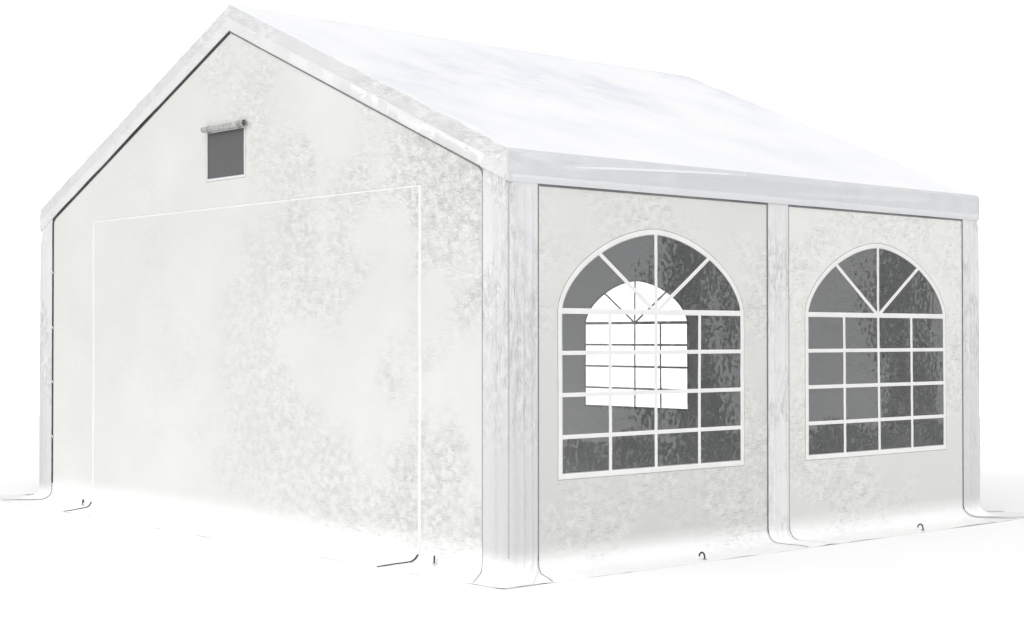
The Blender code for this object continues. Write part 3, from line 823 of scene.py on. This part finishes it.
def add_corner_covers():
    rows = ceil((COVER_TOP - SKIRT_EDGE) / 0.02)
    plan = corner_plan()
    runs = [0.0]
    for (here, _), (following, _) in zip(plan, plan[1:]):
        runs.append(runs[-1] + (following - here).length)
    across = len(plan) - 1
    for bay, face, way, side in (("front", "left", -1, -1), ("front", "right", -1, 1),
                                 ("back", "left", 1, -1), ("back", "right", 1, 1)):
        corner = f"{bay}_{face}"
        shape = bmesh.new()
        bmesh.ops.create_grid(shape, x_segments=across, y_segments=rows, size=0.5)
        seed = 1.7 * side + 0.9 * way
        for point in shape.verts:
            index = round((point.co.x + 0.5) * across)
            height = SKIRT_EDGE + (point.co.y + 0.5) * (COVER_TOP - SKIRT_EDGE)
            here, facing = plan[index]
            ends = smooth(0.0, 0.02, runs[index]) * smooth(0.0, 0.02, runs[-1] - runs[index])
            lift = ends * pleat(runs[index], height, seed, CORNER_FOLDS)
            out, up = drop(height, LAYER)
            turn = min(max((BEND_TOP - height) / BEND_R, 0.0), pi / 2)
            moved = out - LAYER * cos(turn) + WALL_DEPTH
            flat = here + Vector((moved, moved)) + facing * lift * cos(turn)
            point.co = Vector((side * flat.x, way * flat.y, up + lift * sin(turn)))
            point.co.z += ripple(point.co.x, point.co.y)
        bmesh.ops.recalc_face_normals(shape, faces=shape.faces)
        # Turned inwards, so that the cloth's thickness goes outwards
        face_out(shape, Vector((-side, -way, -0.5)))
        cover = thicken(add_piece(f"corner_cover_{corner}", shape, ["cover"]))
        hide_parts(f"post_cover_{corner}")

        def on_corner(across, height, lift, side=side, way=way, seed=seed):
            turn = pi / 4 - across / CORNER_R
            proud = pleat(runs[-1] / 2 + across, height, seed, CORNER_FOLDS) + lift
            spot = Vector((POST_X, POST_Y)) + Vector((cos(turn), sin(turn))) * (CORNER_R + proud)
            return Vector((side * spot.x, way * spot.y, height))

        # A grey strip down the cover's corner: the corner's painted shadow line
        path = line((0, 0.08), (0, VALANCE_EDGE + 0.01))
        shadow_weld = add_strips(f"corner_weld_{corner}", on_corner, [path], ROUND, 0.007, 0.002, "shadow_weld")


def add_middle_covers():
    for face in ("left", "right"):
        seed = SEEDS[face] + 60

        def shift(point, seed=seed):
            return pleat(point.x, point.y, seed, MIDDLE_FOLDS) * smooth(0.0, 0.02, MID_COVER - abs(point.x))

        shape = flat_cut(-MID_COVER, MID_COVER, SKIRT_EDGE, COVER_TOP, 0.009)
        hang(shape, face, LAYER, shift)
        cover = thicken(add_piece(f"middle_cover_{face}", shape, ["middle_cover"]))
        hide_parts(f"post_cover_middle_{face}")


# Roof

SLOPE_STEPS = 96
VALANCE_STEPS = 18
# How far the roof's hems and its ridge seam stop short of its edges
HEM_SHORT = 0.015
SEAM_SHORT = 0.02


def roof_line():
    """The roof sheet's outer face across the tent, from one valance's lower edge to the other's."""
    eave_r = HALF_WIDTH - POST_X
    eave_centre_z = RIDGE_Z - POST_X * SLOPE - eave_r / cos(PITCH)
    normal = pi / 2 - PITCH
    ridge_r = (RIDGE_Z - RIDGE_AXIS_Z) * cos(PITCH)
    points = [(HALF_WIDTH, VALANCE_EDGE + (eave_centre_z - VALANCE_EDGE) * i / VALANCE_STEPS)
              for i in range(VALANCE_STEPS)]
    points += [(POST_X + eave_r * cos(turn), eave_centre_z + eave_r * sin(turn))
               for turn in (normal * i / 6 for i in range(7))]
    start = Vector(points[-1])
    end = Vector((ridge_r * cos(normal), RIDGE_AXIS_Z + ridge_r * sin(normal)))
    points += [tuple(start.lerp(end, i / SLOPE_STEPS)) for i in range(1, SLOPE_STEPS)]
    points += [(ridge_r * cos(normal + PITCH * i / 3), RIDGE_AXIS_Z + ridge_r * sin(normal + PITCH * i / 3))
               for i in range(3)]
    top = (0.0, RIDGE_AXIS_Z + ridge_r)
    return points + [top] + [(-x, z) for x, z in reversed(points)]


def roof_sag(point):
    """How far the roof sheet gives between its tubes, in metres inward."""
    bay = abs(point.y) / POST_Y
    down = (HALF_WIDTH - abs(point.x)) / HALF_WIDTH
    between = sin(pi * min(bay, 1.0)) ** 1.3
    slope = max(0.0, sin(pi * min(max((down - 0.02) / 0.95, 0.0), 1.0))) ** 0.8
    seed = 50 if point.x > 0 else 70
    crease = 0.006 * (0.35 - abs(swirl(point.x + 0.6 * point.y, point.y * 0.7, seed, 2.4)))
    crease += 0.0035 * (0.3 - abs(swirl(point.x * 0.8, point.y, seed + 4, 5.5)))
    return between * slope * (0.020 - crease)


def pucker(x, y):
    """How far the roof bulges out along a rake, where its cloth is gathered towards the eave's corners."""
    near = 0.35 * smooth(0.3, 0.9, abs(x)) + 0.65 * smooth(1.3, 2.1, abs(x))
    held = 1 - smooth(2.28, 2.42, abs(x))
    lumps = max(0.0, swirl(x, y, 61 if x > 0 else 67, 5.0) + 0.5 * swirl(x, y * 2, 64, 12.0) + 0.12)
    return 0.020 * near * held * smooth(0.14, 0.0, HALF_LENGTH - abs(y)) * lumps


# The crest of the valance's longest fold, from and to, and how thick the cloth gathers there. Its strip is paler than
# the valance: a painted highlight along the crest.
CREST = ((-1.66, 1.965), (-0.28, 2.015))
CREASE_THICK = 0.003
# Long folds in the eave's valance: from, to (along the eave, height), how thick above their crest, and how proud
VALANCE_FOLDS = (
    ((-1.66, 1.958), (-0.05, 2.016), 0.014, 0.015),
    ((-1.90, 1.990), (-1.40, 1.930), 0.012, 0.006),
    ((0.10, 1.925), (1.60, 1.965), 0.014, 0.007),
)


def valance_fold(along, height):
    """How far the valance's folds stand out: steep above the crest, and long below it."""
    proud = 0.0
    for start, end, half, tall in VALANCE_FOLDS:
        share = (along - start[0]) / (end[0] - start[0])
        away = height - start[1] - (end[1] - start[1]) * share
        away /= half if away > 0 else 2.6 * half
        proud += tall * exp(-away * away) * smooth(0.0, 0.12, share) * smooth(0.0, 0.3, 1 - share)
    roll = 0.006 * smooth(2.012, 2.002, height) * smooth(1.955, 1.995, height)
    return proud + roll * smooth(0.0, 0.5, 1.0 - along)


def eave_wave(side, along, height):
    """How far an eave's valance stands out, with its long folds."""
    ends = smooth(0, 0.25, HALF_LENGTH - abs(along))
    loose = smooth(0.0, 0.10, EAVE_Z - 0.02 - height) * ends
    wave = 0.005 * max(0.0, swirl(along, height * 2, 90 + side * HALF_WIDTH, 2.6) + 0.3)
    return wave * loose + ends * valance_fold(side * along, height)


def band_wave(way, across, height):
    """How far the band along a rake stands out, with the lumps of its gathered edge."""
    above = height - (RIDGE_Z - abs(across) * SLOPE - VALANCE)
    loose = smooth(0.0, 0.12, 0.144 - above) * smooth(0.0, 0.15, HALF_WIDTH - abs(across))
    wave = 0.006 * max(0.0, swirl(across, height, 80 + way * HALF_LENGTH, 3.5) + 0.2)
    return wave * loose + 0.8 * pucker(across, way * HALF_LENGTH) * smooth(0.05, 0.13, above)


def add_roof():
    line_points = roof_line()
    across = len(line_points) - 1
    shape = bmesh.new()
    bmesh.ops.create_grid(shape, x_segments=across, y_segments=150, size=0.5)
    for point in shape.verts:
        x, z = line_points[round((point.co.x + 0.5) * across)]
        point.co = Vector((x, point.co.y * 2 * HALF_LENGTH, z))
    bands = line_points[VALANCE_STEPS:-VALANCE_STEPS]
    for way in (-1, 1):
        grid = bmesh.ops.create_grid(shape, x_segments=len(bands) - 1, y_segments=VALANCE_STEPS, size=0.5)
        for point in grid["verts"]:
            x, z = bands[round((point.co.x + 0.5) * (len(bands) - 1))]
            low = RIDGE_Z - abs(x) * SLOPE - VALANCE
            point.co = Vector((x, way * HALF_LENGTH, low + (z - low) * (point.co.y + 0.5)))
    bmesh.ops.remove_doubles(shape, verts=shape.verts, dist=1e-5)
    bmesh.ops.recalc_face_normals(shape, faces=shape.faces)
    face_out(shape, Vector((0, 0, 1)))
    folds = [edge for edge in shape.edges if len(edge.link_faces) == 2 and edge.calc_face_angle() > radians(50)]
    bmesh.ops.bevel(shape, geom=folds, offset=0.010, offset_type="OFFSET", segments=4, profile=0.5,
                    affect="EDGES", material=-1, clamp_overlap=True)
    shape.normal_update()
    moves = []
    for point in shape.verts:
        here = point.co
        if abs(here.y) > HALF_LENGTH - 0.003:
            moves.append(band_wave(1 if here.y > 0 else -1, here.x, here.z))
        elif abs(here.x) > HALF_WIDTH - 0.003:
            moves.append(eave_wave(1 if here.x > 0 else -1, here.y, here.z))
        elif point.normal.z > 0.2:
            inward = roof_sag(here) if abs(here.y) < HALF_LENGTH - 0.005 else 0.0
            moves.append(pucker(here.x, here.y) - inward)
        else:
            moves.append(0.0)
    for point, move in zip(shape.verts, moves):
        point.co += point.normal * move
    # The valance takes a darker blue-grey slot than the roof above it: painted shade under the eave
    for item in shape.faces:
        middle = item.calc_center_median()
        on_band = abs(middle.y) > HALF_LENGTH - 0.006
        on_valance = abs(middle.x) > HALF_WIDTH - 0.012
        item.material_index = 2 if on_band else 1 if on_valance else 0
    sheet = thicken(add_piece("roof_sheet", shape, ["roof", "valance", "rake"]))
    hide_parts("roof_cover")
    eaves, creases, rakes, ridge = bmesh.new(), bmesh.new(), bmesh.new(), bmesh.new()
    for side in (-1, 1):
        def on_valance(across, height, lift, side=side):
            return Vector((side * (HALF_WIDTH + lift + eave_wave(side, across, height)), across, height))
        far, height = HALF_LENGTH - HEM_SHORT, VALANCE_EDGE + 0.020
        strip(eaves, on_valance, line((-far, height), (far, height)), section(FLAT, EAVE_HEM, 0.0032))

        def on_crest(across, height, lift, side=side):
            share = (side * across - CREST[0][0]) / (CREST[1][0] - CREST[0][0])
            sunk = CREASE_THICK * (1 - smooth(0.0, 0.5, share) * smooth(0.0, 0.4, 1 - share))
            return on_valance(across, height, lift - sunk, side)
        crest = line(*((side * along, height) for along, height in CREST))
        strip(creases, on_crest, crest, section(ROUND, 0.013, CREASE_THICK))
    for way in (-1, 1):
        def on_band(across, height, lift, way=way):
            return Vector((across, way * (HALF_LENGTH + lift + band_wave(way, across, height)), height))
        middle, far = RIDGE_Z - VALANCE + RAKE_HEM * 0.55, HALF_WIDTH - HEM_SHORT
        ends = [(side * far, middle - far * SLOPE) for side in (-1, 1)]
        strip(rakes, on_band, route(ends[0], (0, middle), ends[1]), section(FLAT, RAKE_HEM, 0.0034))
        for side in (-1, 1):
            edge, low = side * (HALF_WIDTH - 0.007), VALANCE_EDGE + 0.01
            strip(rakes, on_band, line((edge, low), (edge, low + 0.12)), section(FLAT, 0.010, 0.006))

    def on_ridge(across, height, lift):
        return Vector((height, across, RIDGE_Z - 0.0022 + lift - abs(height) * 0.12))
    far = HALF_LENGTH - SEAM_SHORT
    strip(ridge, on_ridge, line((-far, 0), (far, 0)), section(FLAT, 0.016, 0.0016))
    trims = [add_piece(name, finish_strips(trim), [finish]) for name, trim, finish in (
        ("eave_hems", eaves, "valance_hem"), ("valance_crease_highlights", creases, "valance_crest"),
        ("rake_hems", rakes, "rake_hem"), ("ridge_seam", ridge, "ridge_seam"))]


# Edgings beside the covers and under the valance

# Heights below which the dark edgings give way to grey piping, and where the piping ends on the skirt
SIDE_FADE = 0.05
GABLE_FADE = 0.12
PIPING_END = SKIRT_EDGE + 0.02


def add_edgings():
    """Dark piping in the joint between each panel and the covers beside it, painted shadow of the gap there. It fades
    into grey on the skirt.
    """
    def edge(name, paths, width, finish, tall=EDGE_TALL):
        add_strips(name, pin(face), paths, ROUND, width, tall, finish)

    for face in ("left", "right"):
        near, far = MID_COVER + EDGE_GAP, HALF_LENGTH - COVER_LEG - EDGE_GAP
        top, head = VALANCE_EDGE - 0.004, VALANCE_EDGE - 0.005
        faint = [line((across, PIPING_END), (across, SIDE_FADE)) for across in (-far, -near, near, far)]
        faint.append(line((near, SIDE_FADE), (near, top)))
        dark = [line((across, SIDE_FADE), (across, top)) for across in (-far, -near, far)]
        edge(f"panel_edging_{face}", dark, 0.010, "grey_edging")
        edge(f"panel_piping_{face}", faint, 0.005, "faint_edging", 0.003)
        heads = [line((way * MID_COVER, head), (way * (HALF_LENGTH - COVER_LEG), head)) for way in (-1, 1)]
        edge(f"panel_head_edging_{face}", heads, 0.012, "grey_edging")
    loops = bmesh.new()
    for face in ("front", "back"):
        far = HALF_WIDTH - COVER_LEG - EDGE_GAP
        reach = RIDGE_Z - VALANCE - 0.006
        laced = -1 if face == "front" else 1
        for side in (-1, 1):
            name = "left" if side < 0 else "right"
            # On the laced side the edging is wide and black, painted shadow under the band's edge; on the other side it
            # is narrow and grey
            width, upright, rake = (0.026, "edging", "edging") if side == laced else (
                0.010, "faint_edging", "grey_edging")
            corner = (side * far, reach - far * SLOPE)
            bend = [(side * far, corner[1] - 0.035), (side * (far - 0.006), corner[1] - 0.010),
                    (side * (far - 0.035), corner[1] + 0.035 * SLOPE)]
            edge(f"gable_edging_{face}_{name}", [line((side * far, GABLE_FADE), bend[0])], width, upright)
            slope = bend + line(bend[2], (0, reach))[1:]
            edge(f"rake_edging_{face}_{name}", [slope], width, rake)
            foot = line((side * far, PIPING_END), (side * far, GABLE_FADE))
            edge(f"gable_piping_{face}_{name}", [foot], 0.005, "faint_edging", 0.003)
        for height in LACE_HEIGHTS:
            bow = [(laced * far + right, height + up)
                   for right, up in ((-0.016, -0.008), (-0.004, 0.008), (0.006, 0.008), (0.016, -0.006))]
            strip(loops, lambda a, h, up: on_wall(face, a, h, up + 0.003), bow, section(ROUND, 0.007, 0.006))
    add_piece("lacing_loops", finish_strips(loops), ["lace"])
    face = "front"
    # Black strips in the skirt's slits by the door: painted shadow in the slits
    slits = [line((across, SKIRT_EDGE + 0.004), (across, 0.03)) for across in (DOOR_LEFT, DOOR_RIGHT)]
    edge("slit_edging_front", slits, 0.012, "edging", 0.005)


# Pegs and eyelets

# Where each peg stands, and which way its hook points; then the hook's line from the ground, inward and up
PEG_PLACES = ((2.745, -0.89, -1, 0), (-2.745, -0.89, 1, 0), (2.745, 1.01, -1, 0), (-2.745, 1.01, 1, 0),
              (-1.745, -2.05, -0.75, 0.66), (2.0, -2.05, -0.75, 0.66), (-1.2, 2.245, 0, -1), (1.2, 2.245, 0, -1))
PEG_PROFILE = ((0.0, 0.0), (0.0, 0.014), (0.004, 0.026), (0.014, 0.033), (0.026, 0.031), (0.034, 0.022), (0.036, 0.012))


def add_pegs():
    """Peg hooks over the skirt's edge, through eyelets. Only what shows above the ground."""
    pegs, rings = bmesh.new(), bmesh.new()
    outline = [(PEG_R * sin(radians(a)), PEG_R * cos(radians(a))) for a in range(0, 360, 45)]
    for x, y, *inward in PEG_PLACES:
        spot, inward = Vector((x, y, 0)), Vector((*inward, 0))
        base = 0.004 + ripple(spot.x, spot.y)
        if abs(spot.y) < 2.1 and abs(spot.x) < 2.4:
            base = on_wall("front", spot.x, BEND_TOP - BEND_R, 0).z
        side = inward.cross(Vector((0, 0, 1)))

        def place(across, height, lift, spot=spot, inward=inward, side=side, base=base):
            return spot + inward * across + side * lift + Vector((0, 0, base + height))

        strip(pegs, place, PEG_PROFILE, outline)
        ring = bmesh.ops.create_circle(rings, segments=20, radius=0.012,
                                       matrix=Matrix.Translation(spot + Vector((0, 0, base + 0.0004))))
        hoop = [edge for edge in rings.edges if edge.verts[0] in ring["verts"] and edge.verts[1] in ring["verts"]]
        wide = bmesh.ops.extrude_edge_only(rings, edges=hoop)
        inner = [item for item in wide["geom"] if isinstance(item, bmesh.types.BMVert)]
        bmesh.ops.scale(rings, vec=(0.5, 0.5, 1), space=Matrix.Translation(-spot), verts=inner)
    add_piece("pegs", finish_strips(pegs), ["peg"])
    eyelets = add_piece("skirt_eyelets", rings, ["steel"])
    thicken(eyelets, -0.0016)


# Bolts on the frame's joints

# A bolt's washer and its head: sides, radius, how far past the sleeve it starts, and how tall it is
BOLT_PARTS = ((16, 0.0075, -0.001, 0.0025), (6, 0.0055, 0.001, 0.006))


def add_bolts():
    """Hexagon bolts through the sleeves of every joint and foot."""
    shape = bmesh.new()
    spots = []
    for y in (-POST_Y, 0, POST_Y):
        for side in (-1, 1):
            x = side * POST_X
            along = Vector((-side * cos(PITCH), 0, sin(PITCH))) * (SLEEVE_LENGTH - BOLT_BACK)
            under = Vector((-side * sin(PITCH), 0, -cos(PITCH)))
            spots += [(Vector((x, y, EAVE_AXIS_Z - SLEEVE_LENGTH + BOLT_BACK)), Vector((-side, 0, 0))),
                      (Vector((x, y, 0.07)), Vector((-side, 0, 0))),
                      (Vector((x, y, EAVE_AXIS_Z)) + along, under), (Vector((0, y, RIDGE_AXIS_Z)) - along, under)]
    for way in (-1, 1):
        for start in (0, POST_Y):
            y = way * abs(start - SLEEVE_LENGTH + BOLT_BACK)
            for x, z in ((-POST_X, EAVE_AXIS_Z), (POST_X, EAVE_AXIS_Z), (0, RIDGE_AXIS_Z)):
                inward = Vector((-1 if x > 0 else 1, 0, 0)) if x else Vector((0, 0, -1))
                spots.append((Vector((x, y, z)), inward))
    for spot, outward in spots:
        turn = outward.to_track_quat("Z", "Y").to_matrix().to_4x4()
        for sides, radius, past, tall in BOLT_PARTS:
            at = Matrix.Translation(spot + outward * (SLEEVE_R + past + tall / 2))
            bmesh.ops.create_cone(shape, segments=sides, radius1=radius, radius2=radius, depth=tall,
                                  cap_ends=True, matrix=at @ turn)
    edges = [edge for edge in shape.edges if edge.calc_face_angle(0) > radians(80)]
    bmesh.ops.bevel(shape, geom=edges, offset=0.0005, segments=1, profile=0.5, affect="EDGES", material=-1)
    add_piece("joint_bolts", shape, ["steel"], smooth_angle=25)


def dress_steel():
    for name, node in frame["nodes"].items():
        if name.startswith(("post_", "eave_", "rafter_", "ridge_")) and not name.startswith("post_cover"):
            for slot in node.material_slots:
                slot.material = MATERIALS["steel"]


# Studio

def add_studio():
    floor = bmesh.new()
    bmesh.ops.create_circle(floor, cap_ends=True, segments=64, radius=14)
    mesh = bpy.data.meshes.new("floor")
    floor.to_mesh(mesh)
    floor.free()
    add_object("floor", mesh)
    made, _, shader, _ = new_material("pale_floor")
    feed(shader, {"Base Color": linear("#ffffff"), "Roughness": 0.7})
    mesh.materials.append(made)

    world = bpy.data.worlds.new("studio")
    bpy.context.scene.world = world
    world.use_nodes = True
    world.node_tree.nodes.clear()
    add = partial(add_node, world.node_tree)
    sky, backdrop = (add("Background", {"Color": (1, 1, 1, 1), "Strength": strength}) for strength in (0.53, 4.0))
    seen = add("MixShader", {"Fac": add("LightPath", out="Is Camera Ray"), 1: sky, 2: backdrop})
    add("OutputWorld", {"Surface": seen}, out=None)

    for name, towards, strength, angle in (
        ("top", (0.35, -0.45, 1.0), 1.75, 80),
        ("key", (-0.7, -0.7, 0.40), 0.65, 18),
        ("side", (0.75, 0.66, 0.38), 0.24, 12),
    ):
        lamp = bpy.data.lights.new(name, "SUN")
        lamp.energy = strength
        lamp.angle = radians(angle)
        add_object(name, lamp).rotation_euler = Vector(towards).to_track_quat("Z", "Y").to_euler()
    bpy.context.scene.view_settings.view_transform = "Standard"


def add_camera():
    lens = bpy.data.cameras.new("camera")
    lens.sensor_width = 36
    lens.lens = 57.39
    lens.clip_end = 1000
    camera = add_object("camera", lens)
    camera.location = (8.321, -7.117, 1.133)
    camera.rotation_euler = (radians(90.836), 0, radians(48.56))
    bpy.context.scene.camera = camera


add_camera()
dress_steel()
add_side_walls()
add_gables()
add_corner_covers()
add_middle_covers()
add_roof()
add_edgings()
add_pegs()
add_bolts()
add_studio()
